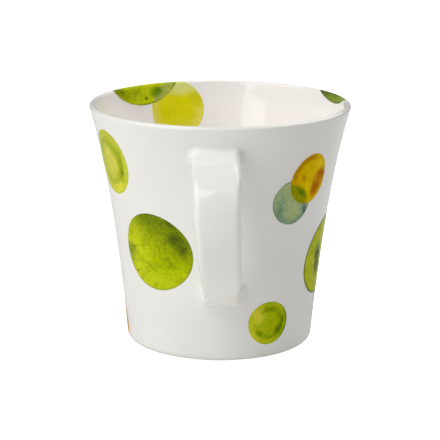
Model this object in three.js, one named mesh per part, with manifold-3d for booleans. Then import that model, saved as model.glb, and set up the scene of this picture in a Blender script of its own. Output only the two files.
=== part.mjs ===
// A flared porcelain mug with a strap handle, decorated with watercolour spot transfers.
// Millimetres, +Z up. The origin is on the ground plane, under the middle of the whole mug.
// The handle reaches towards -Y. Azimuths are counted from the handle, positive towards +X.
import * as THREE from "three";
import { mergeVertices } from "three/addons/utils/BufferGeometryUtils.js";
import Module from "manifold-3d";

const wasm = await Module();
wasm.setup();

// Cup: the outer wall's radius is BASE_RADIUS at the ground plane and grows towards the rim.
const HEIGHT = 89.2;
const BASE_RADIUS = 33.86;
const TAPER = 7.2; // even widening from the ground plane to the rim
const BOW = 5.3; // widening that grows with the square of the height
const FLARE = 1.45; // extra widening near the rim
const LIP_THICKNESS = 2.3;
const WALL_THICKNESS = 3.4; // at the base
const HEEL_RADIUS = 2.6;
const HEEL_LIFT = 1.3; // gap between the heel's lowest point and the ground
const FOOT_OUTER_RADIUS = 28.6;
const FOOT_INNER_RADIUS = 26.4;
const FOOT_BEVEL = 0.3;
const RECESS_DEPTH = 1.6;
const FLOOR_LEVEL = 5.4; // top of the cup's floor
const FLOOR_CORNER_RADIUS = 9;
const TURNED_SEGMENTS = 60;

// Handle: a strap that is luted to the wall at both ends.
const HANDLE_ROUTE = [
  // [distance from the cup's axis, height] along the middle of the strap
  [40, 78.3],
  [46.5, 77.4],
  [55, 75.7],
  [62.6, 72.2],
  [67.2, 65.6],
  [68.1, 57],
  [65.4, 48],
  [59.2, 39.4],
  [50.4, 32.4],
  [41, 28],
  [33, 25.4],
];
const STRAP_THICKNESS = 6;
const STRAP_CORNER_RADIUS = 2.4;
const STRAP_TOP_WIDTH = 17.2;
const STRAP_BOTTOM_WIDTH = 12.8;
const STRAP_TOP_HEIGHT = 80;
const STRAP_BOTTOM_HEIGHT = 24;
const STRAP_LEAN = THREE.MathUtils.degToRad(-2.9); // top to the left, seen from outside
const STRAP_LEAN_HEIGHT = 52; // where the leaning strap crosses the cup's middle plane
const STRAP_STEPS = 40;
const SLIP_THICKNESS = 1.2; // luting slip between the wall and the strap's end
const SLIP_FLARE = 1.1; // slip that stands out round the strap's end
const JOINT_GAP = 0.3;

// Spot transfers: thin films that follow the wall.
const FILM_THICKNESS = 0.3;
const FILM_GAP = 0.3;
const FILM_SEGMENTS = 26;
const FILM_RING_STEP = 4.5; // longest step between a film's rings
const RIM_TRIM = 88; // a film that runs off the top of the wall ends here, just under the lip
const HEEL_TRIM = 4; // a film that runs off its foot ends here, where the heel turns in
const OVAL_WAVE = 0.018;
const TRIPLE_WAVE = 0.01;
const WAVE_START = 3.1; // radians, the first spot's waves
const WAVE_TURN = 3.5; // radians between one spot's waves and the next spot's

const PORCELAIN = 0xf1efea;
const SLIP = 0xebe8e1;
const LIME = 0xa9b92b;
const GREEN = 0x6f8d2a;
const YELLOW = 0xd3cc4e;
const ORANGE = 0xdda51f;
const TEAL = 0x8aab9b;

// radius and height in mm, azimuth in degrees; cutBy names a spot that is printed over this one
const SPOTS = [
  { name: "spot_lime_ring", azimuth: -63.5, height: 71.3, radius: 11.7, colour: LIME },
  { name: "spot_green_large", azimuth: -36.4, height: 41, radius: 14.6, colour: GREEN },
  { name: "spot_orange", azimuth: 48.1, height: 67.3, radius: 9.2, colour: ORANGE },
  { name: "spot_teal", azimuth: 38.5, height: 59.7, radius: 8.4, colour: TEAL, cutBy: "spot_orange" },
  { name: "spot_lime_outlined", azimuth: 77.2, height: 34.9, radius: 14.7, colour: LIME },
  { name: "spot_lime_small", azimuth: 30.2, height: 14.9, radius: 8.1, colour: LIME },
  { name: "spot_amber", azimuth: -88.5, height: 8.5, radius: 8, colour: ORANGE },
  { name: "spot_teal_side", azimuth: -106, height: 37, radius: 7, colour: TEAL },
  { name: "spot_green_side", azimuth: -128, height: 60, radius: 12.5, colour: GREEN },
  { name: "spot_yellow_low", azimuth: -152, height: 24, radius: 11, colour: YELLOW },
  { name: "spot_lime_back", azimuth: 170, height: 52, radius: 8.5, colour: LIME },
  { name: "spot_teal_back", azimuth: -177, height: 63, radius: 9.5, colour: TEAL, cutBy: "spot_lime_back" },
  { name: "spot_orange_back", azimuth: 128, height: 27, radius: 10.5, colour: ORANGE },
  { name: "spot_green_back", azimuth: 119, height: 69, radius: 10, colour: GREEN },
  { name: "spot_lime_low", azimuth: 158, height: 14, radius: 6, colour: LIME },
  { name: "inner_spot_green", azimuth: -138, height: 99.6, radius: 18.8, colour: GREEN, inside: true },
  {
    name: "inner_spot_yellow",
    azimuth: -157,
    height: 79.2,
    radius: 10.9,
    colour: YELLOW,
    inside: true,
    cutBy: "inner_spot_green",
  },
  { name: "inner_spot_dark", azimuth: 111.4, height: 105, radius: 20, colour: GREEN, inside: true },
  { name: "inner_spot_orange", azimuth: -52, height: 75, radius: 8, colour: ORANGE, inside: true },
  { name: "inner_spot_teal", azimuth: 44, height: 78, radius: 6.5, colour: TEAL, inside: true },
];

function outerRadius(height) {
  const part = height / HEIGHT;
  return BASE_RADIUS + TAPER * part + BOW * part ** 2 + FLARE * part ** 6;
}

function innerRadius(height) {
  const thickness = THREE.MathUtils.mapLinear(height, 0, HEIGHT, WALL_THICKNESS, LIP_THICKNESS);
  return outerRadius(height) - thickness;
}

// The wall's lean from the vertical, in radians.
function wallLean(radiusAt, height) {
  const step = 0.5;
  return Math.atan((radiusAt(height + step) - radiusAt(height - step)) / (2 * step));
}

function arc(centreRadius, centreHeight, radius, from, to, steps) {
  return Array.from({ length: steps + 1 }, (_, i) => {
    const angle = THREE.MathUtils.lerp(from, to, i / steps);
    return new THREE.Vector2(
      centreRadius + radius * Math.cos(angle),
      centreHeight + radius * Math.sin(angle),
    );
  });
}

function wallLine(radiusAt, from, to, steps) {
  return Array.from({ length: steps + 1 }, (_, i) => {
    const height = THREE.MathUtils.lerp(from, to, i / steps);
    return new THREE.Vector2(radiusAt(height), height);
  });
}

// A profile of (radius, height) points turned about the cup's upright axis.
function turned(profile, segments = TURNED_SEGMENTS) {
  return new THREE.LatheGeometry(profile, segments).rotateX(Math.PI / 2);
}

function toSolid(geometry) {
  const bare = new THREE.BufferGeometry();
  bare.setAttribute("position", geometry.getAttribute("position"));
  bare.setIndex(geometry.index);
  const merged = mergeVertices(bare, 1e-4);
  return new wasm.Manifold(
    new wasm.Mesh({
      numProp: 3,
      vertProperties: new Float32Array(merged.getAttribute("position").array),
      triVerts: new Uint32Array(merged.index.array),
    }),
  );
}

function toGeometry(solid) {
  const { vertProperties, triVerts } = solid.getMesh();
  const geometry = new THREE.BufferGeometry();
  geometry.setAttribute("position", new THREE.BufferAttribute(vertProperties, 3));
  geometry.setIndex(new THREE.BufferAttribute(triVerts, 1));
  return geometry;
}

function piece(name, geometry, colour, roughness = 0.15) {
  const material = new THREE.MeshStandardMaterial({ color: colour, roughness, metalness: 0 });
  const mesh = new THREE.Mesh(geometry.index ? geometry.toNonIndexed() : geometry, material);
  mesh.geometry.computeVertexNormals();
  mesh.name = name;
  return mesh;
}

// The cup: underside with a foot ring, heel, wall, rounded lip, inner wall and floor.
function cupProfile() {
  const heelLean = wallLean(outerRadius, HEEL_LIFT + HEEL_RADIUS);
  const heelTop = HEEL_LIFT + HEEL_RADIUS * (1 - Math.sin(heelLean));
  const heelCentre = outerRadius(heelTop) - HEEL_RADIUS * Math.cos(heelLean);
  const lipRadius = LIP_THICKNESS / 2;
  const lipHeight = HEIGHT - lipRadius;
  const lipCentre = outerRadius(lipHeight) - lipRadius;
  const cornerTop = FLOOR_LEVEL + FLOOR_CORNER_RADIUS;
  const cornerCentre = innerRadius(cornerTop) - FLOOR_CORNER_RADIUS;
  return [
    new THREE.Vector2(0, RECESS_DEPTH),
    new THREE.Vector2(FOOT_INNER_RADIUS - RECESS_DEPTH, RECESS_DEPTH),
    new THREE.Vector2(FOOT_INNER_RADIUS, FOOT_BEVEL),
    new THREE.Vector2(FOOT_INNER_RADIUS + FOOT_BEVEL, 0),
    new THREE.Vector2(FOOT_OUTER_RADIUS - FOOT_BEVEL, 0),
    new THREE.Vector2(FOOT_OUTER_RADIUS, FOOT_BEVEL),
    ...arc(heelCentre, HEEL_LIFT + HEEL_RADIUS, HEEL_RADIUS, -Math.PI / 2, -heelLean, 6),
    ...wallLine(outerRadius, heelTop, lipHeight, 9).slice(1),
    ...arc(lipCentre, lipHeight, lipRadius, 0, Math.PI, 6).slice(1),
    ...wallLine(innerRadius, lipHeight, cornerTop, 8).slice(1),
    ...arc(cornerCentre, cornerTop, FLOOR_CORNER_RADIUS, 0, -Math.PI / 2, 6).slice(1),
    new THREE.Vector2(0, FLOOR_LEVEL),
  ];
}

// A filled round body whose side stands off the cup's outer wall by a constant distance.
function wallCore(standOff) {
  const below = -5;
  const above = HEIGHT + 5;
  return toSolid(
    turned([
      new THREE.Vector2(0, below),
      ...wallLine((height) => outerRadius(height) + standOff, below, above, 12),
      new THREE.Vector2(0, above),
    ]),
  );
}

function roundedRectangle(width, height, radius) {
  const shape = new THREE.Shape();
  const x = width / 2 - radius;
  const y = height / 2 - radius;
  shape.absarc(x, y, radius, 0, Math.PI / 2);
  shape.absarc(-x, y, radius, Math.PI / 2, Math.PI);
  shape.absarc(-x, -y, radius, Math.PI, 1.5 * Math.PI);
  shape.absarc(x, -y, radius, 1.5 * Math.PI, 2 * Math.PI);
  return shape;
}

function routePoint([reach, height]) {
  return new THREE.Vector3(0, -reach, height);
}

function strapWidth(height) {
  return THREE.MathUtils.mapLinear(
    height,
    STRAP_BOTTOM_HEIGHT,
    STRAP_TOP_HEIGHT,
    STRAP_BOTTOM_WIDTH,
    STRAP_TOP_WIDTH,
  );
}

// The strap section swept along a route, grown by margin all round, narrowing downwards and leaning.
function strapSweep(route, steps, margin = 0) {
  const geometry = new THREE.ExtrudeGeometry(
    roundedRectangle(
      STRAP_TOP_WIDTH + 2 * margin,
      STRAP_THICKNESS + 2 * margin,
      STRAP_CORNER_RADIUS + margin,
    ),
    { steps, extrudePath: route, curveSegments: 3 },
  );
  const position = geometry.getAttribute("position");
  for (let i = 0; i < position.count; i += 1) {
    const width = strapWidth(position.getZ(i)) + 2 * margin;
    position.setX(i, (position.getX(i) * width) / (STRAP_TOP_WIDTH + 2 * margin));
  }
  return geometry
    .translate(0, 0, -STRAP_LEAN_HEIGHT)
    .rotateY(STRAP_LEAN)
    .translate(0, 0, STRAP_LEAN_HEIGHT);
}

function makeHandle() {
  const route = new THREE.CatmullRomCurve3(HANDLE_ROUTE.map(routePoint), false, "centripetal");
  const strap = toSolid(strapSweep(route, STRAP_STEPS));
  return toGeometry(strap.subtract(wallCore(2 * JOINT_GAP + SLIP_THICKNESS)));
}

// The wafer of slip at one end of the strap, on the straight line between two points of the route.
function makeSlip(innerPoint, outerPoint) {
  const line = new THREE.LineCurve3(routePoint(innerPoint), routePoint(outerPoint));
  const collar = toSolid(strapSweep(line, 1, SLIP_FLARE));
  const wafer = collar.intersect(wallCore(JOINT_GAP + SLIP_THICKNESS)).subtract(wallCore(JOINT_GAP));
  return toGeometry(wafer);
}

// A flat film: a disc about the Y axis from y = lower to y = upper, in rings that can bend.
function filmDisc(radius, lower, upper) {
  const rings = Math.ceil(radius / FILM_RING_STEP);
  const radii = Array.from({ length: rings + 1 }, (_, i) => (radius * i) / rings);
  return new THREE.LatheGeometry(
    [
      ...radii.map((r) => new THREE.Vector2(r, lower)),
      ...radii.toReversed().map((r) => new THREE.Vector2(r, upper)),
    ],
    FILM_SEGMENTS,
  );
}

// The hand-cut look of a spot's outline: its radius varies a little with the angle.
function outlineWave(angle, turn) {
  return 1 + OVAL_WAVE * Math.cos(2 * angle + turn) + TRIPLE_WAVE * Math.cos(3 * angle - turn);
}

// A film bent onto the wall. In the disc, x runs round the wall, z along it and y off its surface.
function filmSolid(spot, margin, lower, upper) {
  const side = spot.inside ? -1 : 1;
  const radiusAt = spot.inside ? innerRadius : outerRadius;
  const turn = WAVE_START + SPOTS.indexOf(spot) * WAVE_TURN;
  const rise = Math.cos(wallLean(radiusAt, Math.min(spot.height, RIM_TRIM)));
  const disc = filmDisc(spot.radius + margin, lower, upper);
  const position = disc.getAttribute("position");
  for (let i = 0; i < position.count; i += 1) {
    const across = position.getX(i);
    const along = -side * position.getZ(i);
    const wave = outlineWave(Math.atan2(along, across), turn);
    const height = spot.height + along * wave * rise;
    const wallRadius = radiusAt(height);
    const azimuth = THREE.MathUtils.degToRad(spot.azimuth) + (across * wave) / wallRadius;
    const distance = wallRadius + side * position.getY(i);
    position.setXYZ(i, distance * Math.sin(azimuth), -distance * Math.cos(azimuth), height);
  }
  return toSolid(disc);
}

// The space between the two levels where films are trimmed.
function trimBlock() {
  const reach = 3 * outerRadius(HEIGHT);
  const block = new THREE.BoxGeometry(reach, reach, RIM_TRIM - HEEL_TRIM);
  return toSolid(block.translate(0, 0, (RIM_TRIM + HEEL_TRIM) / 2));
}

function makeFilm(spot) {
  let film = filmSolid(spot, 0, FILM_GAP, FILM_GAP + FILM_THICKNESS).intersect(trimBlock());
  if (spot.cutBy) {
    const upperSpot = SPOTS.find(({ name }) => name === spot.cutBy);
    film = film.subtract(filmSolid(upperSpot, FILM_GAP, 0, 2 * FILM_GAP + FILM_THICKNESS));
  }
  return toGeometry(film);
}

const mug = new THREE.Group();
mug.add(piece("cup_body", turned(cupProfile()), PORCELAIN));
mug.add(piece("handle", makeHandle(), PORCELAIN));
mug.add(piece("handle_slip_upper", makeSlip(HANDLE_ROUTE[0], HANDLE_ROUTE[2]), SLIP));
mug.add(piece("handle_slip_lower", makeSlip(HANDLE_ROUTE.at(-1), HANDLE_ROUTE.at(-3)), SLIP));
for (const spot of SPOTS) {
  mug.add(piece(spot.name, makeFilm(spot), spot.colour));
}

// The handle makes the mug longer on one side, so the cup's axis moves off the origin.
const bounds = new THREE.Box3().setFromObject(mug, true);
mug.position.y = -(bounds.min.y + bounds.max.y) / 2;

export default mug;
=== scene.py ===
"""Looks of a flared porcelain mug with watercolour spots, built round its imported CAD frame."""

import math

import bmesh
import bpy
import numpy as np
from mathutils import Matrix, Quaternion, Vector


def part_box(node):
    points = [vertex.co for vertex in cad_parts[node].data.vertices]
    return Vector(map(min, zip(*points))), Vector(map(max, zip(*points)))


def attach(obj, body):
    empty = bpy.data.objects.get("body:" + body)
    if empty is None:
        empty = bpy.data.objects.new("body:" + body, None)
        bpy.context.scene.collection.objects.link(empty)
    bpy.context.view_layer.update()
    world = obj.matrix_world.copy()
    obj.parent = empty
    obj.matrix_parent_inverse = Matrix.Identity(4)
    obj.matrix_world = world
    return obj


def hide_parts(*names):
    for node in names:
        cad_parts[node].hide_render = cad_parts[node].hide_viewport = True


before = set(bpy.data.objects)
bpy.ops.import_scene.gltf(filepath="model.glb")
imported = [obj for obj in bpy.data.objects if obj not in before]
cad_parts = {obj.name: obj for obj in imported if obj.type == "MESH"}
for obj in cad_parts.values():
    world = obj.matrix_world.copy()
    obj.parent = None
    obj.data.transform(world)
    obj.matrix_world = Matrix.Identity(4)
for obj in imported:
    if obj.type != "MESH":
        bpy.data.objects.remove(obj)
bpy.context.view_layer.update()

MM = 0.001

# The cup, as in the CAD source, in millimetres.
CUP_LOW, CUP_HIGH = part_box("cup_body")
AXIS = (CUP_LOW + CUP_HIGH) / 2  # of the cup, in metres; only its X and Y are used
HEIGHT = 89.2
BASE_RADIUS = 33.86
TAPER = 7.2  # the three parts of the wall's widening, from straight to flared
BOW = 5.3
FLARE = 1.45
LIP_THICKNESS = 2.3
WALL_THICKNESS = 3.4
HEEL_RADIUS = 2.6
HEEL_LIFT = 1.3
FOOT_OUTER_RADIUS = 28.6
FOOT_INNER_RADIUS = 26.4
FOOT_ROUND = 0.5
FOOT_EASE = 0.1  # of the corner between the foot ring and the heel
RECESS_DEPTH = 1.6
RECESS_ROUND = 1.1
FLOOR_LEVEL = 5.4
FLOOR_CORNER_RADIUS = 9
LIP_RADIUS = LIP_THICKNESS / 2
LIP_HEIGHT = HEIGHT - LIP_RADIUS  # of the middle of the lip's rounding
TURNED_SEGMENTS = 240
FLOOR_RINGS = (16, 10, 5, 0)  # radii of the rows of points on the cup's flat floor

# The handle, as in the CAD source: (distance from the cup's axis, height) along the strap's middle.
HANDLE_ROUTE = (
    (40, 78.3),
    (46.5, 77.4),
    (55, 75.7),
    (62.6, 72.2),
    (67.2, 65.6),
    (68.1, 57),
    (65.4, 48),
    (59.2, 39.4),
    (50.4, 32.4),
    (41, 28),
    (33, 25.4),
)
STRAP_THICKNESS = 6
STRAP_CORNER_RADIUS = 2.4
STRAP_CROWN = 0.25  # how far the strap's broad faces bulge
STRAP_TOP_WIDTH = 17.2
STRAP_BOTTOM_WIDTH = 12.8
STRAP_TOP_HEIGHT = 80
STRAP_BOTTOM_HEIGHT = 24
STRAP_LEAN = math.radians(-2.9)  # sideways
STRAP_LEAN_HEIGHT = 52  # where the strap leans from
UPPER_FILLET = 2.4  # radii of the rounding where the strap meets the wall
LOWER_FILLET = 3.4
STRAP_SAMPLES = 900  # along the route
STRAP_RINGS = 110
FILLET_RINGS = 18
FILLET_CROWDING = 1.5  # above 1, the fillet's rings crowd towards the wall
ROOT_SINKS = (1.2, 0.05)  # how far the strap's hidden ends lie below the wall

# Spot transfers.
FILM_LIFT = 0.006  # gap between the wall and the first film
FILM_THICKNESS = 0.03
FILM_STEP = 0.9  # between a film's rings
FILM_SEGMENTS = 96
CREASE_GAP = 0.6  # points of a line closer than this are on a bend
RIM_TRIM = 88  # a spot's height above this is measured along the wall's slope
END_GAP = 0.15  # between a trimmed film and the end of the line that it follows
OVAL_WAVE = 0.018  # how far a spot's outline strays from a circle, in shares of its radius
TRIPLE_WAVE = 0.01
WAVE_START = 3.1  # radians, the first spot's waves
WAVE_TURN = 3.5  # radians, from one spot's waves to the next one's


# ---------------------------------------------------------------- the cup's outline


def outer_radius(height):
    part = np.asarray(height, float) / HEIGHT
    return BASE_RADIUS + TAPER * part + BOW * part**2 + FLARE * part**6


def inner_radius(height):
    part = np.asarray(height, float) / HEIGHT
    return outer_radius(height) - (WALL_THICKNESS + (LIP_THICKNESS - WALL_THICKNESS) * part)


def wall_lean(radius_at, height):
    """The wall's lean from the vertical, in radians."""
    step = 0.5
    return np.arctan((radius_at(height + step) - radius_at(height - step)) / (2 * step))


def arc(centre, radius, start, end, steps):
    """Points (radius, height) on an arc, with its angles in radians."""
    angles = np.linspace(start, end, steps + 1)
    return np.stack([centre[0] + radius * np.cos(angles), centre[1] + radius * np.sin(angles)], 1)


def wall_points(radius_at, low, high, step=0.8):
    heights = np.linspace(low, high, max(2, round(abs(high - low) / step)))
    return np.stack([radius_at(heights), heights], 1)


class Line:
    """A line of (radius, height) points on the cup, measured along its own length."""

    def __init__(self, points, side):
        self.points = points
        self.side = side  # 1 where the clay is on the axis side, -1 where it is on the far side
        steps = np.hypot(*np.diff(points, axis=0).T)
        self.lengths = np.concatenate([[0], np.cumsum(steps)])

    def at(self, length):
        """Radius and height at a length along the line, and the normal that points out of the clay."""
        radius = np.interp(length, self.lengths, self.points[:, 0])
        height = np.interp(length, self.lengths, self.points[:, 1])
        slopes = np.gradient(self.points, self.lengths, axis=0)
        along_radius = np.interp(length, self.lengths, slopes[:, 0])
        along_height = np.interp(length, self.lengths, slopes[:, 1])
        size = np.hypot(along_radius, along_height) * self.side
        return radius, height, along_height / size, -along_radius / size

    def creases(self):
        """Lengths at which the line turns quickly, where a film needs a row of points of its own."""
        gaps = np.diff(self.lengths)[1:]
        return [length for length, gap in zip(self.lengths[1:-1], gaps) if gap < CREASE_GAP]

    def length_at(self, height, radius_at):
        """Length at a height, where heights above RIM_TRIM run on along the wall's slope."""
        known = min(height, RIM_TRIM)
        found = np.interp(known, self.points[:, 1], self.lengths)
        return found + (height - known) / math.cos(wall_lean(radius_at, RIM_TRIM))


HEEL_LEAN = float(wall_lean(outer_radius, HEEL_LIFT + HEEL_RADIUS))
HEEL_TOP = HEEL_LIFT + HEEL_RADIUS * (1 - math.sin(HEEL_LEAN))
HEEL_CENTRE = float(outer_radius(HEEL_TOP)) - HEEL_RADIUS * math.cos(HEEL_LEAN)
LIP_CENTRE = float(outer_radius(LIP_HEIGHT)) - LIP_RADIUS
CORNER_TOP = FLOOR_LEVEL + FLOOR_CORNER_RADIUS
CORNER_CENTRE = float(inner_radius(CORNER_TOP)) - FLOOR_CORNER_RADIUS

heel_arc = arc((HEEL_CENTRE, HEEL_LIFT + HEEL_RADIUS), HEEL_RADIUS, -math.pi / 2, -HEEL_LEAN, 20)
outer_wall = wall_points(outer_radius, HEEL_TOP, LIP_HEIGHT)[1:]
outer_lip = arc((LIP_CENTRE, LIP_HEIGHT), LIP_RADIUS, 0, math.pi / 2, 12)[1:]
inner_lip = arc((LIP_CENTRE, LIP_HEIGHT), LIP_RADIUS, math.pi, math.pi / 2, 12)[1:]
inner_wall = wall_points(inner_radius, CORNER_TOP, LIP_HEIGHT)
floor_corner = arc((CORNER_CENTRE, CORNER_TOP), FLOOR_CORNER_RADIUS, -math.pi / 2, 0, 24)[:-1]

OUTSIDE = Line(np.concatenate([heel_arc, outer_wall, outer_lip]), 1)
INSIDE = Line(np.concatenate([floor_corner, inner_wall, inner_lip]), -1)


def foot_points():
    """The underside, from the middle out: recess, hollow round to the ring, ring, and its outer side."""
    ring_in = FOOT_INNER_RADIUS
    ring_out = FOOT_OUTER_RADIUS
    rounding = FOOT_ROUND
    hollow = (ring_in - RECESS_ROUND, RECESS_DEPTH - RECESS_ROUND)
    return np.concatenate(
        [
            [[r, RECESS_DEPTH] for r in np.linspace(0, ring_in - RECESS_ROUND, 14)],
            arc(hollow, RECESS_ROUND, math.pi / 2, 0, 8)[1:],
            arc((ring_in + rounding, rounding), rounding, math.pi, 1.5 * math.pi, 6),
            arc((ring_out - rounding, rounding), rounding, -math.pi / 2, 0, 6),
            [[ring_out, HEEL_LIFT - FOOT_EASE], [ring_out + FOOT_EASE, HEEL_LIFT]],
        ]
    )


# ---------------------------------------------------------------- mesh helpers


def place(azimuth, radius, height):
    """Points in metres from azimuths (radians from the handle, towards +X), radii and heights."""
    azimuth, radius, height = np.broadcast_arrays(azimuth, radius, height)
    return np.stack(
        [
            AXIS.x + radius * MM * np.sin(azimuth),
            AXIS.y - radius * MM * np.cos(azimuth),
            height * MM,
        ],
        -1,
    )


def make_piece(name, points, faces, materials, face_materials=None, sharp=None):
    """A smooth-shaded mesh on the mug's body. sharp is a function of two vertex numbers."""
    mesh = bpy.data.meshes.new(name)
    mesh.from_pydata([tuple(p) for p in points], [], faces)
    for material in materials:
        mesh.materials.append(material)
    if face_materials is not None:
        mesh.polygons.foreach_set("material_index", np.asarray(face_materials, np.int32))
    mesh.shade_smooth()
    if sharp is not None:
        flags = [bool(sharp(*edge.vertices)) for edge in mesh.edges]
        mesh.attributes.new("sharp_edge", "BOOLEAN", "EDGE").data.foreach_set("value", flags)
    mesh.validate()
    piece = bpy.data.objects.new(name, mesh)
    bpy.context.scene.collection.objects.link(piece)
    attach(piece, "root")
    return piece


def ring_faces(rings, count, closed=True):
    """Quads between neighbouring rings of count points each."""
    faces = []
    for ring in range(rings - 1):
        for i in range(count if closed else count - 1):
            j = (i + 1) % count
            low, high = ring * count, (ring + 1) * count
            faces.append((low + i, low + j, high + j, high + i))
    return faces


# ---------------------------------------------------------------- shader helpers


class Nodes:
    """Short names for building one material's node tree."""

    def __init__(self, name):
        self.material = bpy.data.materials.new(name)
        self.material.use_nodes = True
        self.tree = self.material.node_tree
        self.shader = self.tree.nodes["Principled BSDF"]

    def add(self, kind, *values, **settings):
        """A node with its properties set, and its first inputs joined to sockets or set to values."""
        made = self.tree.nodes.new("ShaderNode" + kind)
        for key, value in settings.items():
            setattr(made, key, value)
        for socket, value in zip(made.inputs, values):
            self.put(value, socket)
        return made

    def put(self, value, socket):
        if isinstance(value, bpy.types.NodeSocket):
            self.tree.links.new(value, socket)
        elif value is not None:
            socket.default_value = value

    def math(self, operation, a, b=None, c=None, clamp=False):
        return self.add("Math", a, b, c, operation=operation, use_clamp=clamp).outputs[0]

    def vector(self, operation, a, b=None):
        made = self.add("VectorMath", a, b, operation=operation)
        return made.outputs["Value" if operation in ("LENGTH", "DOT_PRODUCT") else "Vector"]

    def smooth(self, value, low, high, to_low=0.0, to_high=1.0):
        """value's way from low to high as a smooth step."""
        made = self.add("MapRange", value, low, high, to_low, to_high, interpolation_type="SMOOTHSTEP")
        return made.outputs["Result"]

    def noise(self, place, scale, detail=3.0, roughness=0.5, distortion=0.0):
        made = self.add("TexNoise", noise_dimensions="3D")
        for key, value in (
            ("Vector", place),
            ("Scale", scale),
            ("Detail", detail),
            ("Roughness", roughness),
            ("Distortion", distortion),
        ):
            self.put(value, made.inputs[key])
        return made

    def mix(self, amount, a, b, blend="MIX"):
        made = self.add("Mix", data_type="RGBA", blend_type=blend)
        colour_sockets = [s for s in made.inputs if s.type == "RGBA"]
        self.put(amount, made.inputs["Factor"])
        self.put(a, colour_sockets[0])
        self.put(b, colour_sockets[1])
        return next(s for s in made.outputs if s.type == "RGBA")

    def finish(self, colour, **constants):
        self.put(colour, self.shader.inputs["Base Color"])
        for key, value in constants.items():
            self.put(value, self.shader.inputs[key.replace("_", " ")])
        return self.material


def srgb(hex_colour):
    """A linear colour from an sRGB hex number."""
    parts = [(hex_colour >> shift & 255) / 255 for shift in (16, 8, 0)]
    return (*[p / 12.92 if p <= 0.04045 else ((p + 0.055) / 1.055) ** 2.4 for p in parts], 1)


# ---------------------------------------------------------------- clay and glaze

GLAZE_ROUGHNESS = 0.09  # over the paint
GLAZE_IOR = 1.52


def glaze_relief(nodes, place_socket, strength=0.05):
    """The faint ripple of a melted glaze, and the fine pitting that only close light finds."""
    ripple = nodes.noise(place_socket, 170, 2.0).outputs[0]
    pitting = nodes.noise(place_socket, 1500, 1.0).outputs[0]
    height = nodes.math("MULTIPLY_ADD", pitting, 0.08, ripple)
    bump = nodes.add("Bump")
    nodes.put(strength, bump.inputs["Strength"])
    nodes.put(0.0001, bump.inputs["Distance"])
    nodes.put(height, bump.inputs["Height"])
    return bump.outputs[0]


def porcelain_material(name, light, dark, roughness):
    """Glazed white porcelain: cloudy between two whites, and a little greyer towards the bottom, below
    about 7 mm.

    roughness is the glaze's where it is smoothest, and it is twice that where it is dullest.
    """
    nodes = Nodes(name)
    where = nodes.add("TexCoord").outputs["Object"]
    clouds = nodes.noise(where, 28, 3.0).outputs[0]
    colour = nodes.mix(nodes.smooth(clouds, 0.3, 0.7), light, dark)
    height = nodes.add("SeparateXYZ", where).outputs["Z"]
    # A little greyer below about 7 mm: on the foot's underside, the heel and the inside floor.
    greyer_low = nodes.smooth(height, 0.007, 0.0015, 0.0, 0.35)
    colour = nodes.mix(greyer_low, colour, srgb(0xEFEEE8))
    specks = nodes.add("TexVoronoi", where, feature="F1")
    nodes.put(260, specks.inputs["Scale"])
    dots = nodes.smooth(specks.outputs["Distance"], 0.05, 0.02, 0.0, 0.16)
    rare = nodes.math("GREATER_THAN", nodes.noise(where, 90, 0.0).outputs[0], 0.66)
    colour = nodes.mix(nodes.math("MULTIPLY", dots, rare), colour, srgb(0xB9AE9A))
    uneven = nodes.noise(where, 60, 2.0).outputs[0]
    gloss = nodes.smooth(uneven, 0.2, 0.8, roughness, roughness * 2)
    return nodes.finish(colour, Roughness=gloss, IOR=GLAZE_IOR, Normal=glaze_relief(nodes, where))


def bare_material():
    """Unglazed porcelain on the foot ring: matt, faintly grey and a little dirty from use."""
    nodes = Nodes("bare_porcelain")
    where = nodes.add("TexCoord").outputs["Object"]
    grain = nodes.noise(where, 900, 4.0, 0.6).outputs[0]
    wear = nodes.noise(where, 120, 3.0, 0.6).outputs[0]
    colour = nodes.mix(nodes.smooth(grain, 0.35, 0.7), srgb(0xE6E1D6), srgb(0xD8D1C3))
    colour = nodes.mix(nodes.smooth(wear, 0.52, 0.72, 0.0, 0.55), colour, srgb(0xB3A995))
    bump = nodes.add("Bump")
    nodes.put(0.5, bump.inputs["Strength"])
    nodes.put(0.00015, bump.inputs["Distance"])
    nodes.put(grain, bump.inputs["Height"])
    roughness = nodes.smooth(wear, 0.3, 0.7, 0.62, 0.8)
    return nodes.finish(colour, Roughness=roughness, Normal=bump.outputs[0])


OUTER, INNER, BARE = range(3)
BARE_TOP = 0.3  # the glaze is wiped off the foot ring below this height


def make_cup(outer_glaze, lightened_inner_glaze, bare):
    """The cup as one turned skin, with the foot ring's lowest band left bare."""
    floor = [[r, FLOOR_LEVEL] for r in FLOOR_RINGS]
    profile = np.concatenate([foot_points(), OUTSIDE.points, INSIDE.points[::-1][1:], floor])
    radii, heights = profile[1:-1].T
    azimuths = np.linspace(0, 2 * math.pi, TURNED_SEGMENTS, endpoint=False)
    points = place(azimuths[None, :], radii[:, None], heights[:, None]).reshape(-1, 3)
    faces = ring_faces(len(radii), TURNED_SEGMENTS)
    bottom, top = len(points), len(points) + 1
    points = np.concatenate([points, place(0.0, 0.0, [RECESS_DEPTH, FLOOR_LEVEL])])
    last = (len(radii) - 1) * TURNED_SEGMENTS
    for i in range(TURNED_SEGMENTS):
        j = (i + 1) % TURNED_SEGMENTS
        faces.append((bottom, j, i))
        faces.append((top, last + i, last + j))
    first_inner = (len(foot_points()) + len(OUTSIDE.points) - 2) * TURNED_SEGMENTS
    finishes = [BARE if max(points[v][2] for v in face) < BARE_TOP * MM else OUTER for face in faces]
    finishes = [INNER if min(face) >= first_inner else finish for face, finish in zip(faces, finishes)]
    cup = make_piece("cup", points, faces, [outer_glaze, lightened_inner_glaze, bare], finishes)
    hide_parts("cup_body")
    return cup


# ---------------------------------------------------------------- the handle


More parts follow.
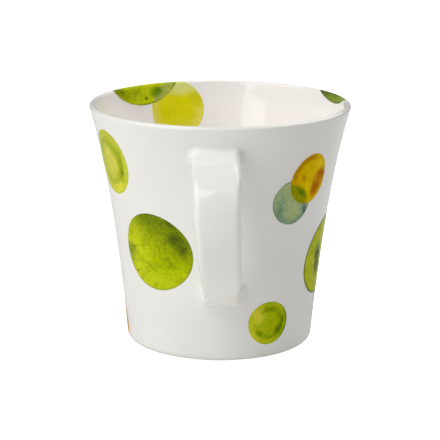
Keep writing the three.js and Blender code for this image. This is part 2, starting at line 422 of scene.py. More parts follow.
def smooth_curve(points, count):
    """A natural cubic spline through the points, evenly sampled, with its unit tangents."""
    points = np.array(points, float)
    knots = np.concatenate([[0], np.cumsum(np.hypot(*np.diff(points, axis=0).T))])
    gaps = np.diff(knots)[:, None]
    size = len(points)
    matrix, right = np.eye(size), np.zeros((size, 2))
    slopes = np.diff(points, axis=0) / gaps
    for i in range(1, size - 1):
        matrix[i, i - 1 : i + 2] = gaps[i - 1, 0], 2 * (gaps[i - 1, 0] + gaps[i, 0]), gaps[i, 0]
        right[i] = 6 * (slopes[i] - slopes[i - 1])
    bends = np.linalg.solve(matrix, right)
    at = np.linspace(0, knots[-1], count)
    k = np.clip(np.searchsorted(knots, at) - 1, 0, size - 2)
    gap = gaps[k]
    after, before = (at - knots[k])[:, None], (knots[k + 1] - at)[:, None]
    curve = (bends[k] * before**3 + bends[k + 1] * after**3) / (6 * gap)
    curve += (points[k] / gap - bends[k] * gap / 6) * before
    curve += (points[k + 1] / gap - bends[k + 1] * gap / 6) * after
    tangents = np.gradient(curve, at, axis=0)
    return curve, tangents / np.hypot(*tangents.T)[:, None]


def strap_outline():
    """The strap's section, one row for each point.

    A row is: share of the half width, corner offset, depth, normal across, normal out.
    """
    rows = []
    corner = STRAP_CORNER_RADIUS
    side = STRAP_THICKNESS / 2 - corner
    turns = ((1, 1, 0), (-1, 1, 90), (-1, -1, 180), (1, -1, 270))
    for index, (across, out, start) in enumerate(turns):
        for angle in np.radians(np.linspace(start, start + 90, 10)):
            cos, sin = math.cos(angle), math.sin(angle)
            rows.append((across, corner * cos, out * side + corner * sin, cos, sin))
        next_across, next_out, _ = turns[(index + 1) % 4]
        steps = 11 if next_across != across else 2
        for i in range(1, steps):
            share = i / steps
            cos, sin = math.cos(math.radians(start + 90)), math.sin(math.radians(start + 90))
            rows.append(
                (
                    across + (next_across - across) * share,
                    corner * cos,
                    (out + (next_out - out) * share) * side + corner * sin,
                    cos,
                    sin,
                )
            )
    return np.array(rows)


def wall_distance(points):
    """How far cup-centred points in millimetres stand off the outer wall."""
    radius = np.hypot(points[..., 0], points[..., 1])
    height = points[..., 2]
    return (radius - outer_radius(height)) * np.cos(wall_lean(outer_radius, height))


def stand_off(points, distance):
    """Moves points towards or away from the cup's axis until they stand that far off the wall."""
    height = points[..., 2]
    wanted = outer_radius(height) + distance / np.cos(wall_lean(outer_radius, height))
    scale = wanted / np.hypot(points[..., 0], points[..., 1])
    return np.stack([points[..., 0] * scale, points[..., 1] * scale, height], -1)


def lean(points):
    """Tilts cup-centred points or directions in the plane across the strap."""
    cos, sin = math.cos(STRAP_LEAN), math.sin(STRAP_LEAN)
    x, y, z = np.moveaxis(points, -1, 0)
    return np.stack([x * cos + z * sin, y, z * cos - x * sin], -1)


class Strap:
    """The strap's surface lines: one for each point of its section, along the whole route."""

    def __init__(self):
        curve, tangents = smooth_curve(HANDLE_ROUTE, STRAP_SAMPLES)
        share, corner, depth, across, out = strap_outline().T
        span = (curve[:, 1] - STRAP_BOTTOM_HEIGHT) / (STRAP_TOP_HEIGHT - STRAP_BOTTOM_HEIGHT)
        width = STRAP_BOTTOM_WIDTH + (STRAP_TOP_WIDTH - STRAP_BOTTOM_WIDTH) * span
        sideways = share * (width / 2 - STRAP_CORNER_RADIUS)[:, None] + corner
        crown = STRAP_CROWN * (1 - share**2) * np.sign(depth)
        normal = np.stack([-tangents[:, 1], tangents[:, 0]], 1)  # (reach, height), out of the loop
        reach = curve[:, :1] + normal[:, :1] * (depth + crown)
        height = curve[:, 1:] + normal[:, 1:] * (depth + crown)
        pivot = np.array([0, 0, STRAP_LEAN_HEIGHT])
        self.lines = lean(np.stack([sideways, -reach, height], -1) - pivot) + pivot
        flat_normal = np.stack(
            [
                np.broadcast_to(across, reach.shape),
                -normal[:, :1] * out,
                normal[:, 1:] * out,
            ],
            -1,
        )
        self.normals = lean(flat_normal)
        self.distance = wall_distance(self.lines)
        self.count = self.lines.shape[1]

    def crossing(self, distance, from_top):
        """For each line, the sample number where it first stands that far off the wall."""
        found = []
        for line in self.distance.T if from_top else self.distance[::-1].T:
            after = int(np.argmax(line > distance))
            share = (distance - line[after - 1]) / (line[after] - line[after - 1])
            found.append(after - 1 + share)
        found = np.array(found)
        return found if from_top else len(self.distance) - 1 - found

    def sample(self, values, at):
        """values, by sample and line, at one fractional sample number for each line."""
        low = np.clip(np.floor(at).astype(int), 0, len(values) - 2)
        share = (at - low)[:, None]
        lines = np.arange(self.count)
        return values[low, lines] * (1 - share) + values[low + 1, lines] * share

    def fillet_ring(self, angle, from_top, sink=0.0):
        """A ring of the fillet, from angle 0 on the strap to 90 degrees, flat on the wall.

        sink is how far the ring lies below the wall.
        """
        radius = UPPER_FILLET if from_top else LOWER_FILLET
        distance = radius * (1 - math.sin(angle))
        spread = radius * (1 - math.cos(angle))
        at = self.crossing(distance, from_top)
        ring = self.sample(self.lines, at) + spread * self.sample(self.normals, at)
        return stand_off(ring, distance - sink)


def make_handle(glazed):
    """The strap, swept between the two places where it runs out into the wall."""
    strap = Strap()
    angles = np.radians(90 * (1 - np.linspace(0, 1, FILLET_RINGS + 1) ** FILLET_CROWDING))
    rings = [strap.fillet_ring(angles[0], True, sink) for sink in ROOT_SINKS]
    rings += [strap.fillet_ring(angle, True) for angle in angles[:-1]]
    first_flat = len(ROOT_SINKS)
    start = strap.crossing(UPPER_FILLET, True)
    end = strap.crossing(LOWER_FILLET, False)
    for share in np.linspace(0, 1, STRAP_RINGS):
        rings.append(strap.sample(strap.lines, start + (end - start) * share))
    rings += [strap.fillet_ring(angle, False) for angle in angles[:-1][::-1]]
    last_flat = len(rings) - 1
    rings += [strap.fillet_ring(angles[0], False, sink) for sink in ROOT_SINKS[::-1]]
    count = strap.count
    points = np.concatenate(rings)
    caps = [rings[0].mean(0), rings[-1].mean(0)]
    faces = ring_faces(len(rings), count)
    first_cap, last_cap = len(points), len(points) + 1
    tail = (len(rings) - 1) * count
    for i in range(count):
        j = (i + 1) % count
        faces.append((first_cap, j, i))
        faces.append((last_cap, tail + i, tail + j))
    points = np.concatenate([points, caps]) * MM + np.array([AXIS.x, AXIS.y, 0])

    def on_wall_line(a, b):
        return a // count == b // count and a // count in (first_flat, last_flat)

    handle = make_piece("strap_handle", points, faces, [glazed], sharp=on_wall_line)
    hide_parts("handle", "handle_slip_upper", "handle_slip_lower")
    return handle


# ---------------------------------------------------------------- spot films


def outline_wave(angle, turn):
    return 1 + OVAL_WAVE * np.cos(2 * angle + turn) + TRIPLE_WAVE * np.cos(3 * angle - turn)


class Spot:
    """Where a spot lies: its line on the cup, its middle, and its outline as distances."""

    def __init__(self, index, azimuth, height, radius, inside):
        self.radius = radius
        self.inside = inside
        self.line = INSIDE if inside else OUTSIDE
        self.azimuth = math.radians(azimuth)
        self.turn = WAVE_START + index * WAVE_TURN
        self.middle = self.line.length_at(height, inner_radius if inside else outer_radius)

    def flat(self, azimuth, length):
        """(across, up) from the spot's middle in millimetres, of points on the wall."""
        radius = self.line.at(length)[0]
        turn = (azimuth - self.azimuth + math.pi) % (2 * math.pi) - math.pi
        return turn * radius, length - self.middle

    def edge_distance(self, across, up):
        """How far inside the outline a flat point lies, in millimetres."""
        wave = outline_wave(np.arctan2(up, across), self.turn)
        return self.radius * wave - np.hypot(across, up)


def flat_disc(spot):
    """The spot cut out of flat sheet, trimmed and creased where the wall ends and turns."""
    sheet = bmesh.new()
    rings = math.ceil(spot.radius / FILM_STEP)
    angles = np.linspace(0, 2 * math.pi, FILM_SEGMENTS, endpoint=False)
    reach = spot.radius * outline_wave(angles, spot.turn)
    middle = sheet.verts.new((0, 0, 0))
    previous = None
    for ring in range(1, rings + 1):
        share = ring / rings
        current = [
            sheet.verts.new((r * share * math.cos(a), r * share * math.sin(a), 0))
            for a, r in zip(angles, reach)
        ]
        for i in range(FILM_SEGMENTS):
            j = (i + 1) % FILM_SEGMENTS
            if previous is None:
                sheet.faces.new((middle, current[i], current[j]))
            else:
                sheet.faces.new((previous[i], current[i], current[j], previous[j]))
        previous = current
    top, bottom = spot.line.lengths[-1] - END_GAP, END_GAP
    cut_across(sheet, top - spot.middle, 1, True)
    cut_across(sheet, bottom - spot.middle, -1, True)
    reach = spot.radius * (1 + OVAL_WAVE + TRIPLE_WAVE)
    for length in spot.line.creases():
        if abs(length - spot.middle) < reach and bottom < length < top:
            cut_across(sheet, length - spot.middle, 1, False)
    sheet.verts.index_update()
    points = np.array([v.co for v in sheet.verts])
    faces = [tuple(v.index for v in f.verts) for f in sheet.faces]
    border = []
    for edge in sheet.edges:
        if len(edge.link_faces) == 1:
            loop = edge.link_loops[0]
            border.append((loop.vert.index, loop.link_loop_next.vert.index))
    sheet.free()
    return points, faces, border


def cut_across(sheet, up, direction, trim):
    """Cuts flat sheet at a height, and takes away what is on the direction side if trim is true."""
    bmesh.ops.bisect_plane(
        sheet,
        geom=sheet.verts[:] + sheet.edges[:] + sheet.faces[:],
        plane_co=(0, up, 0),
        plane_no=(0, direction, 0),
        clear_outer=trim,
    )


def make_film(name, spot, material, under):
    """One transfer: a closed film that follows the wall, on top of the spot it is printed over."""
    flat, faces, border = flat_disc(spot)
    across, up = flat[:, 0], flat[:, 1]
    length = spot.middle + up
    radius, height, normal_radius, normal_height = spot.line.at(length)
    azimuth = spot.azimuth + across / radius
    low = FILM_LIFT + (FILM_THICKNESS + FILM_LIFT if under else 0)
    skins = [
        place(azimuth, radius + normal_radius * lift, height + normal_height * lift)
        for lift in (low, low + FILM_THICKNESS)
    ]
    count = len(flat)
    facing_out = (lambda face: face[::-1]) if spot.inside else (lambda face: face)
    solid = [facing_out(face)[::-1] for face in faces]
    solid += [tuple(v + count for v in facing_out(face)) for face in faces]
    solid += [facing_out((a, b, b + count, a + count)) for a, b in border]
    rim = {v for edge in border for v in edge}

    def on_rim(a, b):
        return a % count in rim and b % count in rim and (a < count) == (b < count)

    film = make_piece(name, np.concatenate(skins), solid, [material], sharp=on_rim)
    # The paint reads its place on the flat sheet, in radii, as its painted side shows it, and its
    # distance from the outline, in millimetres.
    rightwards = -across if spot.inside else across
    edge = spot.edge_distance(across, up)
    marks = np.stack([rightwards / spot.radius, up / spot.radius, edge], 1)
    store(film.data, "flat", "FLOAT_VECTOR", np.concatenate([marks, marks]))
    if under:
        covered = under.edge_distance(*under.flat(azimuth, length))
        store(film.data, "under", "FLOAT", np.concatenate([covered, covered]))
    return film


def store(mesh, name, kind, values):
    field = "vector" if kind == "FLOAT_VECTOR" else "value"
    attribute = mesh.attributes.new(name, kind, "POINT")
    attribute.data.foreach_set(field, np.asarray(values, np.float32).ravel())


# ---------------------------------------------------------------- watercolour

PAINT_IOR = 1.15  # a fired print shines less than the bare glaze
PAINT_SPECULAR = 0.1
LIME_LIGHT = srgb(0xC8D31B)
OLIVE = srgb(0x7C8C11)
LEAF = srgb(0x648200)
MOSS = srgb(0x4A5B16)
RUST = srgb(0xC77700)


class Paint(Nodes):
    """A watercolour wash on a film. Strokes go over the base colour, placed in radii from the middle."""

    def __init__(self, name, seed, base, turn=0.0, wander=0.14):
        super().__init__(name)
        flat = self.add("Attribute", attribute_name="flat").outputs["Vector"]
        self.edge = self.add("SeparateXYZ", flat).outputs["Z"]
        level = self.vector("MULTIPLY", flat, (1, 1, 0))
        turned = self.add("VectorRotate", level, rotation_type="Z_AXIS")
        turned.inputs["Angle"].default_value = math.radians(-turn)
        self.flat = turned.outputs[0]
        self.seeded = self.vector("ADD", self.flat, (0, 0, seed))
        push = self.noise(self.seeded, 2.6, 4.0, 0.6).outputs["Color"]
        push = self.vector("SUBTRACT", push, (0.5, 0.5, 0.5))
        push = self.vector("MULTIPLY", push, (wander * 2, wander * 2, 0))
        self.loose = self.vector("ADD", self.flat, push)
        self.colour = base

    def over(self, mask, colour, blend="MIX"):
        self.colour = self.mix(mask, self.colour, colour, blend)

    def washed(self, mask, strength, ragged):
        """A mask at a strength, broken up by the paper's grain where it is ragged."""
        if ragged:
            broken = self.noise(self.seeded, 6.0, 5.0, 0.62, 0.3).outputs[0]
            broken = self.smooth(broken, 0.36, 0.62, 1 - ragged, 1.0)
            mask = self.math("MULTIPLY", mask, broken)
        return self.math("MULTIPLY", mask, strength)

    def local(self, x, y, turn=0.0, width=1.0, height=1.0):
        """Loose places as seen from a turned, stretched ellipse at (x, y)."""
        moved = self.vector("SUBTRACT", self.loose, (x, y, 0))
        turned = self.add("VectorRotate", moved, rotation_type="Z_AXIS")
        turned.inputs["Angle"].default_value = -math.radians(turn)
        return self.vector("DIVIDE", turned.outputs[0], (width, height, 1))

    def pool(self, x, y, width, height, colour, turn=0.0, strength=1.0, soft=0.6, ragged=0.4):
        """A soft oval of paint. soft is the share of it that fades."""
        away = self.vector("LENGTH", self.local(x, y, turn, width, height))
        mask = self.smooth(away, 1.0 + soft / 2, 1.0 - soft)
        self.over(self.washed(mask, strength, ragged), colour)

    def band(self, x, y, radius, width, start, end, colour, strength=1.0, ragged=0.5):
        """A stroke along part of a circle, from one angle to another, anticlockwise, in degrees."""
        middle, half = (start + end) / 2, (end - start) / 2
        at = self.local(x, y, middle)
        off = self.math("ABSOLUTE", self.math("SUBTRACT", self.vector("LENGTH", at), radius))
        mask = self.smooth(off, width, width * 0.2)
        if half < 180:
            parts = self.add("SeparateXYZ", at).outputs
            angle = self.math("ABSOLUTE", self.math("ARCTAN2", parts["Y"], parts["X"]))
            fade = math.radians(18)
            limit = math.radians(half)
            mask = self.math("MULTIPLY", mask, self.smooth(angle, limit + fade, limit - fade))
        self.over(self.washed(mask, strength, ragged), colour)

    def wash(self, turn, low, high, colour, strength=1.0, ragged=0.2):
        """A change of colour across the spot, in the direction turn, between two places in radii."""
        across = self.add("SeparateXYZ", self.local(0, 0, turn)).outputs["X"]
        self.over(self.washed(self.smooth(across, low, high), strength, ragged), colour)

    def speckle(self, scale, low, colour, strength=0.6, x=0.0, y=0.0, reach=2.0):
        """Granulated pigment, strongest round (x, y)."""
        grains = self.noise(self.seeded, scale, 4.0, 0.7).outputs[0]
        away = self.vector("LENGTH", self.local(x, y))
        near = self.smooth(away, reach, reach * 0.4)
        mask = self.math("MULTIPLY", self.smooth(grains, low, low + 0.1), near)
        self.over(self.math("MULTIPLY", mask, strength), colour)

    def outline(self, colour, strength=0.5, width=0.5, even=0.3):
        """The line where the pigment dried along the edge, stronger and weaker on its way round."""
        uneven = self.noise(self.seeded, 2.4, 2.0).outputs[0]
        line = self.smooth(self.edge, width * 1.5, width * 0.4)
        line = self.math("MULTIPLY", line, self.smooth(uneven, 0.38, 0.6, even, 1.0))
        self.over(self.math("MULTIPLY", line, strength), colour)

    def overlap(self, colour, strength, low, high):
        """The part printed over another spot, fading in between two depths under its outline, in mm."""
        under = self.add("Attribute", attribute_name="under").outputs["Fac"]
        loose = self.noise(self.seeded, 3.0, 3.0).outputs[0]
        depth = self.math("MULTIPLY_ADD", loose, high - low, under)
        middle = (high - low) / 2
        self.over(self.washed(self.smooth(depth, low + middle, high + middle), strength, 0.1), colour)

    def mottle(self, scale, colour, strength, low=0.42, high=0.62):
        """Clouds of another colour all over the spot."""
        clouds = self.noise(self.seeded, scale, 4.0, 0.6, 0.4).outputs[0]
        self.over(self.math("MULTIPLY", self.smooth(clouds, low, high), strength), colour)

    def done(self, grain=0.35):
        """Adds the paper's grain and fires the paint into the glaze."""
        where = self.add("TexCoord").outputs["Object"]
        fine = self.noise(where, 1300, 5.0, 0.75).outputs[0]
        self.over(grain, self.smooth(fine, 0.3, 0.7), "SOFT_LIGHT")
        return self.finish(
            self.colour,
            Roughness=GLAZE_ROUGHNESS,
            IOR=PAINT_IOR,
            Specular_IOR_Level=PAINT_SPECULAR,
            Normal=glaze_relief(self, where),
        )


def lime_with_ring(name, seed, turn=0.0):
    """Pale in the middle, with a broken olive ring inside a bright rim."""
    paint = Paint(name, seed, srgb(0xC6CB3A), turn)
    paint.mottle(1.6, srgb(0xD6D648), 0.6)
    paint.pool(0.08, 0.1, 0.46, 0.6, srgb(0xE2D95E), soft=0.9)
    paint.wash(0, 0.55, 0.95, srgb(0xD2DC3E), 0.8)
    paint.pool(0.38, 0.36, 0.2, 0.26, srgb(0xA9BE22), 20, 0.7, 0.9)
    paint.band(0.0, 0.0, 0.62, 0.24, -62, 100, srgb(0xA4B418), 0.9, 0.4)
    paint.band(0.0, 0.0, 0.64, 0.14, -40, 24, srgb(0x92A416), 0.85, 0.4)
    paint.pool(0.64, -0.28, 0.13, 0.1, srgb(0x7E8C1A), 40, 0.9, 0.8, 0.2)
    paint.band(0.0, 0.0, 0.66, 0.16, 95, 190, srgb(0xA8AE3C), 0.9)
    paint.band(0.0, 0.0, 0.64, 0.17, 200, 300, srgb(0xA4AE2C), 0.7)
    paint.mottle(5.0, srgb(0xB4BA30), 0.35, 0.52, 0.66)
    paint.pool(0.25, -0.86, 0.6, 0.24, srgb(0xF2E646), 15, 0.9, 0.8)
    paint.outline(srgb(0xA0B120), 0.4)
    return paint.done()


def green_cloud(name, seed, turn=0.0):
    """Lime below and olive above, with dark pigment gathered at the upper right."""
    paint = Paint(name, seed, srgb(0xB4C506), turn)
    paint.mottle(2.0, LIME_LIGHT, 0.45)
    paint.wash(65, -0.25, 0.75, OLIVE, 0.95)
    paint.wash(95, 0.4, 1.0, srgb(0x6A8113), 0.8)
    paint.wash(190, 0.1, 0.8, srgb(0xDCE02C), 0.6)
    paint.pool(-0.46, -0.02, 0.4, 0.42, srgb(0xD2DA20), 0, 0.85, 0.9)
    paint.pool(0.0, -0.72, 0.7, 0.3, srgb(0xC8D422), 0, 0.85, 0.9)
    paint.pool(0.0, 0.24, 0.3, 0.14, srgb(0xA8B80C), -20, 0.5, 0.9)
    paint.mottle(4.5, srgb(0x8C9E0E), 0.45, 0.5, 0.66)
    paint.pool(0.68, 0.3, 0.26, 0.22, srgb(0x5E7016), 0, 0.8, 0.9)
    paint.pool(0.56, 0.44, 0.22, 0.17, MOSS, 20, 0.9, 0.8, 0.3)
    paint.pool(0.5, 0.76, 0.24, 0.13, MOSS, -30, 0.85, 0.8, 0.4)
    paint.pool(0.8, 0.1, 0.13, 0.22, MOSS, -5, 0.8, 0.8, 0.4)
    paint.pool(0.3, -0.14, 0.3, 0.1, OLIVE, -25, 0.6, 0.9, 0.8)
    paint.pool(-0.9, -0.14, 0.2, 0.34, srgb(0x69782A), 5, 0.85, 1.0, 0.5)
    paint.pool(-0.76, 0.02, 0.09, 0.08, OLIVE, 0, 0.8, 0.8, 0.3)
    paint.pool(-0.67, -0.57, 0.055, 0.045, MOSS, 0, 0.9, 0.7, 0.0)
    paint.pool(-0.16, -0.4, 0.04, 0.05, OLIVE, 0, 0.9, 0.7, 0.0)
    paint.speckle(11.0, 0.55, MOSS, 0.5, 0.25, 0.5, 1.2)
    paint.speckle(15.0, 0.6, OLIVE, 0.6)
    paint.outline(srgb(0x5E7016), 0.5, 0.45, 0.05)
    return paint.done(0.45)


def orange_over_teal(name, seed, turn=0.0):
    """Sun yellow with a rusty streak, going green where it lies over another spot."""
    paint = Paint(name, seed, srgb(0xF0CC00), turn)
    paint.wash(140, 0.0, 0.8, srgb(0xE6BC00), 0.8)
    paint.pool(0.42, 0.62, 0.36, 0.2, srgb(0xFFE21C), -35, 0.8, 0.9)
    paint.pool(0.02, -0.4, 0.26, 0.3, srgb(0xFAE400), -30, 0.8, 0.9)
    paint.mottle(3.0, srgb(0xD8A400), 0.4, 0.48, 0.66)
    paint.band(0.0, 0.0, 0.88, 0.22, 75, 185, srgb(0xB87A00), 0.8, 0.5)
    paint.pool(0.52, -0.18, 0.36, 0.64, srgb(0xC87E00), -28, 0.95, 0.6, 0.2)
    paint.pool(0.7, 0.14, 0.3, 0.18, srgb(0xC46E00), -10, 0.95, 0.6, 0.1)
    paint.pool(0.38, -0.46, 0.26, 0.3, srgb(0xC46E00), -20, 0.95, 0.6, 0.1)
    paint.pool(-0.36, 0.08, 0.1, 0.2, RUST, 30, 0.85, 0.9, 0.4)
    paint.overlap(srgb(0x94A000), 0.95, 0.8, 3.2)
    paint.pool(-0.34, -0.5, 0.46, 0.13, srgb(0x587F00), -40, 0.9, 0.9, 0.3)
    paint.outline(srgb(0xB87A00), 0.4, 0.4, 0.0)
    return paint.done(0.3)


def orange_cloud(name, seed, turn=0.0):
    """Sun yellow with rust gathered to one side."""
    paint = Paint(name, seed, srgb(0xE9BE10), turn, 0.2)
    paint.mottle(1.8, srgb(0xF2D62C), 0.6)
    paint.wash(30, -0.1, 0.8, srgb(0xD49A00), 0.9)
    paint.band(-0.2, 0.1, 0.85, 0.3, -60, 40, RUST, 0.85)
    paint.pool(-0.4, 0.35, 0.35, 0.25, srgb(0xF4E05A), 20, 0.8, 0.9)
    paint.speckle(9.0, 0.56, RUST, 0.5)
    paint.outline(RUST, 0.7)
    return paint.done(0.3)


def teal_cloud(name, seed, turn=0.0):
    """Grey teal, darker down one side, with a thin dark edge."""
    paint = Paint(name, seed, srgb(0xB6C690), turn)
    paint.mottle(2.2, srgb(0xA2BA94), 0.7)
    paint.pool(-0.1, 0.5, 0.6, 0.4, srgb(0xB4C478), 0, 0.7, 1.0)
    paint.pool(0.08, -0.3, 0.42, 0.46, srgb(0xC8D48C), 0, 0.8, 1.0)
    paint.pool(-0.55, -0.2, 0.2, 0.5, srgb(0x7CA48A), -8, 0.8, 0.9, 0.5)
    paint.pool(-0.62, -0.4, 0.16, 0.24, srgb(0x548A74), 20, 0.75, 0.9, 0.4)
    paint.band(0.0, 0.0, 0.9, 0.2, 195, 320, srgb(0x7A9F80), 0.7)
    paint.pool(0.76, -0.42, 0.18, 0.3, srgb(0x4C697A), 30, 0.9, 0.8, 0.2)
    paint.mottle(6.0, srgb(0x8CAB8C), 0.35, 0.5, 0.64)
    paint.outline(srgb(0x567A68), 0.75, 0.35)
    return paint.done(0.4)


def lime_outlined(name, seed, turn=0.0):
    """Soft lime inside a thin dark line, with a blotch of dark green."""
    paint = Paint(name, seed, srgb(0xC0CA22), turn)
    paint.mottle(2.4, srgb(0xD4DA34), 0.5)
    paint.wash(0, -0.15, 0.6, srgb(0xBDCB84), 0.75)
    paint.pool(-0.32, 0.06, 0.26, 0.5, srgb(0x98A636), 10, 0.8, 1.0, 0.6)
    paint.pool(-0.3, 0.12, 0.22, 0.22, srgb(0x4A6000), 30, 1.0, 0.7, 0.2)
    paint.pool(-0.22, -0.2, 0.2, 0.3, srgb(0x425A00), -10, 1.0, 0.7, 0.2)
    paint.pool(0.3, -0.35, 0.34, 0.25, srgb(0x8FA04A), 30, 0.7, 1.0)
    paint.mottle(5.0, srgb(0xA0AC14), 0.45, 0.5, 0.66)
    paint.outline(srgb(0x46531E), 1.0, 0.6, 0.7)
    return paint.done()


def lime_small(name, seed, turn=0.0):
    """Yellow on one side, with a dark green ring open towards it."""
    paint = Paint(name, seed, srgb(0xB4C408), turn)
    paint.wash(180, 0.05, 0.7, srgb(0xE6E030), 0.95)
    paint.pool(0.14, 0.1, 0.46, 0.5, srgb(0xB2C400), 0, 0.85, 0.9)
    paint.mottle(3.0, srgb(0xC6D41E), 0.5)
    paint.pool(-0.5, 0.36, 0.2, 0.3, srgb(0xF0E858), 20, 0.6, 1.0)
    paint.band(0.02, 0.0, 0.66, 0.22, -170, 118, srgb(0x92AA00), 0.8, 0.4)
    paint.band(0.08, -0.04, 0.62, 0.17, -62, 22, LEAF, 0.9, 0.3)
    paint.pool(0.5, -0.36, 0.2, 0.2, srgb(0x557300), 30, 0.7, 0.9, 0.3)
    paint.pool(-0.46, -0.44, 0.2, 0.12, srgb(0x769200), -40, 0.7, 0.8, 0.4)
    paint.pool(-0.36, -0.12, 0.14, 0.1, srgb(0x98AE0C), 0, 0.7, 0.9)
    paint.pool(0.06, 0.64, 0.34, 0.12, srgb(0x7A9400), -5, 0.85, 0.8, 0.4)
    paint.band(0.0, 0.0, 0.97, 0.1, -40, 30, srgb(0x5A7A00), 0.85, 0.2)
    paint.pool(0.0, -0.87, 0.5, 0.14, srgb(0xCCD422), 0, 0.8, 0.9)
    paint.outline(srgb(0x86A200), 0.5, 0.35)
    return paint.done()


def yellow_soft(name, seed, turn=0.0):
    """Clear yellow, pale and thin towards one side."""
    paint = Paint(name, seed, srgb(0xE0DA0A), turn, 0.08)
    paint.mottle(1.8, srgb(0xE8E22A), 0.6)
    paint.band(0.0, 0.0, 1.02, 0.5, 150, 370, srgb(0xE8E068), 0.8, 0.3)
    paint.wash(84, 0.4, 0.72, srgb(0xE7E88E), 0.85, 0.0)
    paint.pool(0.7, 0.36, 0.26, 0.34, srgb(0xD8D21C), 20, 0.9, 0.7, 0.0)
    paint.pool(0.0, -0.6, 0.6, 0.3, srgb(0xE0D83C), 0, 0.7, 1.0)
    paint.pool(0.1, 0.0, 0.5, 0.3, srgb(0xDAD406), 0, 0.6, 1.0)
    return paint.done(0.2)


def green_over_yellow(name, seed, turn=0.0):
    """Lime and dark green, going grey where it lies over the yellow."""
    paint = Paint(name, seed, srgb(0xCED81C), turn, 0.1)
    paint.mottle(3.2, srgb(0xB4C20E), 0.6)
    paint.wash(165, 0.2, 0.6, srgb(0x84960C), 0.8)
    paint.band(0.0, 0.0, 0.86, 0.16, 195, 245, srgb(0x667700), 0.9, 0.5)
    paint.overlap(srgb(0xB2BA60), 0.8, -0.4, 0.8)
    paint.pool(0.35, -0.74, 0.17, 0.12, srgb(0x5A8800), 0, 0.95, 0.6, 0.2)
    paint.pool(0.1, -0.84, 0.05, 0.045, MOSS, 0, 0.95, 0.7, 0.0)
    paint.pool(-0.2, -0.72, 0.3, 0.1, srgb(0x6E8208), 10, 0.6, 0.9, 0.6)
    paint.speckle(16.0, 0.58, OLIVE, 0.6)
    paint.outline(srgb(0x667700), 0.7, 0.5)
    return paint.done()


def green_dark(name, seed, turn=0.0):
    """Dark green, brighter on one side."""
    paint = Paint(name, seed, srgb(0x869C3C), turn)
    paint.wash(180, 0.0, 0.4, srgb(0x5F742E), 0.9)
    paint.wash(0, 0.1, 0.5, srgb(0x95A662), 0.8)
    paint.mottle(3.5, srgb(0x749030), 0.5)
    paint.pool(-0.2, -0.8, 0.4, 0.1, srgb(0x4A5920), 0, 0.8, 0.9)
    paint.outline(srgb(0x4A5920), 0.9, 0.6)
    return paint.done()


# Each spot: CAD node, transfer colour, azimuth and height of its middle, radius, painter, and the
# turn of its paint. Angles are in degrees, lengths in millimetres.
OUTER_SPOTS = (
    ("spot_lime_ring", "lime", -63.5, 71.3, 11.7, lime_with_ring, 0),
    ("spot_green_large", "green", -36.4, 41, 14.6, green_cloud, 0),
    ("spot_orange", "orange", 48.1, 67.3, 9.2, orange_over_teal, 0),
    ("spot_teal", "teal", 38.5, 59.7, 8.4, teal_cloud, 0),
    ("spot_lime_outlined", "lime", 77.2, 34.9, 14.7, lime_outlined, 0),
    ("spot_lime_small", "lime", 30.2, 14.9, 8.1, lime_small, 0),
    ("spot_amber", "orange", -88.5, 8.5, 8, orange_cloud, 0),
    ("spot_teal_side", "teal", -106, 37, 7, teal_cloud, 100),
    ("spot_green_side", "green", -128, 60, 12.5, green_cloud, 140),
    ("spot_yellow_low", "yellow", -152, 24, 11, yellow_soft, -60),
    ("spot_lime_back", "lime", 170, 52, 8.5, lime_small, 130),
    ("spot_teal_back", "teal", -177, 63, 9.5, teal_cloud, -130),
    ("spot_orange_back", "orange", 128, 27, 10.5, orange_cloud, 160),
    ("spot_green_back", "green", 119, 69, 10, green_cloud, -100),
    ("spot_lime_low", "lime", 158, 14, 6, lime_with_ring, 90),
)
INNER_SPOTS = (
    ("inner_spot_green", "green", -138, 99.6, 18.8, green_over_yellow, 0),
    ("inner_spot_yellow", "yellow", -157, 79.2, 10.9, yellow_soft, 0),
    ("inner_spot_dark", "green", 111.4, 105, 20, green_dark, 0),
    ("inner_spot_orange", "orange", -52, 75, 8, orange_cloud, 0),
    ("inner_spot_teal", "teal", 44, 78, 6.5, teal_cloud, 60),
)
PRINTED_OVER = {
    "spot_orange": "spot_teal",
    "spot_lime_back": "spot_teal_back",
    "inner_spot_green": "inner_spot_yellow",
}


def make_spots():
    rows = [(*row, False) for row in OUTER_SPOTS] + [(*row, True) for row in INNER_SPOTS]
    spots = {}
    for index, (node, _, azimuth, height, radius, _, _, inside) in enumerate(rows):
        spots[node] = Spot(index, azimuth, height, radius, inside)
    for index, (node, colour, _, _, _, painter, turn, _) in enumerate(rows):
        material = painter(f"{node}_paint", 1.7 + index * 3.1, turn)
        under = spots.get(PRINTED_OVER.get(node))
        film = make_film(f"{node}_film", spots[node], material, under)
        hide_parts(node)


# ---------------------------------------------------------------- studio

# Lengths in metres, angles in radians, sensor and lens in millimetres.
VIEW_DISTANCE = 0.6869  # from the cup's axis
VIEW_HEIGHT = 0.2168
VIEW_SIDEWAYS = 0.00013
VIEW_DOWN = 0.245  # how far the camera looks down
VIEW_ROLL = 0.004385
SENSOR = 36
LENS = 157.1
WHITE = (1, 1, 1, 1)
PAPER = (0.85, 0.85, 0.85, 1)
PAPER_REACH = 4
ROOM_GLOW = 0.02
# Each softbox: name, azimuth, elevation, distance, width, height, radiance, roll. Angles are in degrees.
SOFTBOXES = (
    ("key", -34.5, 11, 1.0, 0.42, 0.4, 2.15, 10),
    ("main", -60, 45, 1.3, 1.5, 1.05, 2.75, 6),
    ("right_top", 50, 55, 1.1, 1.0, 1.0, 0.75, 0),
    ("right_back", 130, 45, 1.1, 1.0, 0.8, 2.5, 0),
)


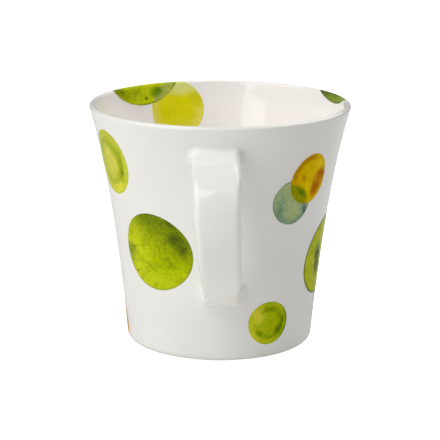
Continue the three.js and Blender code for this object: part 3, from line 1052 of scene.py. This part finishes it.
def make_camera():
    camera = bpy.data.objects.new("camera", bpy.data.cameras.new("camera"))
    bpy.context.scene.collection.objects.link(camera)
    camera.data.sensor_width = SENSOR
    camera.data.lens = LENS
    place_at = Matrix.Translation((AXIS.x + VIEW_SIDEWAYS, AXIS.y - VIEW_DISTANCE, VIEW_HEIGHT))
    tilt = Matrix.Rotation(math.pi / 2 - VIEW_DOWN, 4, "X")
    camera.matrix_world = place_at @ tilt @ Matrix.Rotation(VIEW_ROLL, 4, "Z")
    bpy.context.scene.camera = camera


def make_softbox(name, azimuth, elevation, distance, width, height, radiance, roll):
    """A softbox that faces the mug. Azimuth 0 is the handle's side, positive towards +X."""
    light = bpy.data.lights.new(name, "AREA")
    light.shape = "RECTANGLE"
    light.size, light.size_y = width, height
    light.energy = radiance * width * height * math.pi
    lamp = bpy.data.objects.new(name, light)
    sideways, up = math.radians(azimuth), math.radians(elevation)
    away = Vector((math.sin(sideways) * math.cos(up), -math.cos(sideways) * math.cos(up), math.sin(up)))
    lamp.location = Vector((AXIS.x, AXIS.y, HEIGHT * MM / 2)) + away * distance
    facing = away.to_track_quat("Z", "Y") @ Quaternion((0, 0, 1), math.radians(roll))
    lamp.rotation_euler = facing.to_euler()
    bpy.context.scene.collection.objects.link(lamp)


def make_floor():
    """White paper, lit from behind. Its glow is for the picture's ground and doesn't light the mug."""
    nodes = Nodes("floor_paper")
    nodes.finish(PAPER, Roughness=0.9, Emission_Color=WHITE, Emission_Strength=1.0)
    nodes.material.cycles.emission_sampling = "NONE"
    turns = ((-1, -1), (1, -1), (1, 1), (-1, 1))
    corners = [(x * PAPER_REACH, y * PAPER_REACH, 0) for x, y in turns]
    mesh = bpy.data.meshes.new("floor")
    mesh.from_pydata(corners, [], [(0, 1, 2, 3)])
    mesh.materials.append(nodes.material)
    floor = bpy.data.objects.new("floor", mesh)
    bpy.context.scene.collection.objects.link(floor)
    lit_by_glow = bpy.data.collections.new("lit_by_glow")
    lit_by_glow.objects.link(floor)
    floor.light_linking.receiver_collection = lit_by_glow


def make_world():
    world = bpy.data.worlds.new("world")
    world.use_nodes = True
    background = world.node_tree.nodes["Background"]
    background.inputs["Color"].default_value = WHITE
    background.inputs["Strength"].default_value = ROOM_GLOW
    bpy.context.scene.world = world


make_camera()
make_floor()
for row in SOFTBOXES:
    make_softbox(*row)
make_world()
bpy.context.scene.view_settings.view_transform = "Standard"
bpy.context.scene.cycles.diffuse_bounces = 12  # the white cup's inside is lit mostly by itself

glazed = porcelain_material("outer_glaze", srgb(0xF9F8F3), srgb(0xF7F5F0), 0.06)
# Painted light: the lining is a whiter glaze than the outside's, standing in for the extra light that
# brightens the cup's inside.
lightened_lining = porcelain_material("lightened_inner_glaze", srgb(0xFEFBF8), srgb(0xFCF9F6), 0.035)
make_cup(glazed, lightened_lining, bare_material())
make_handle(glazed)
make_spots()
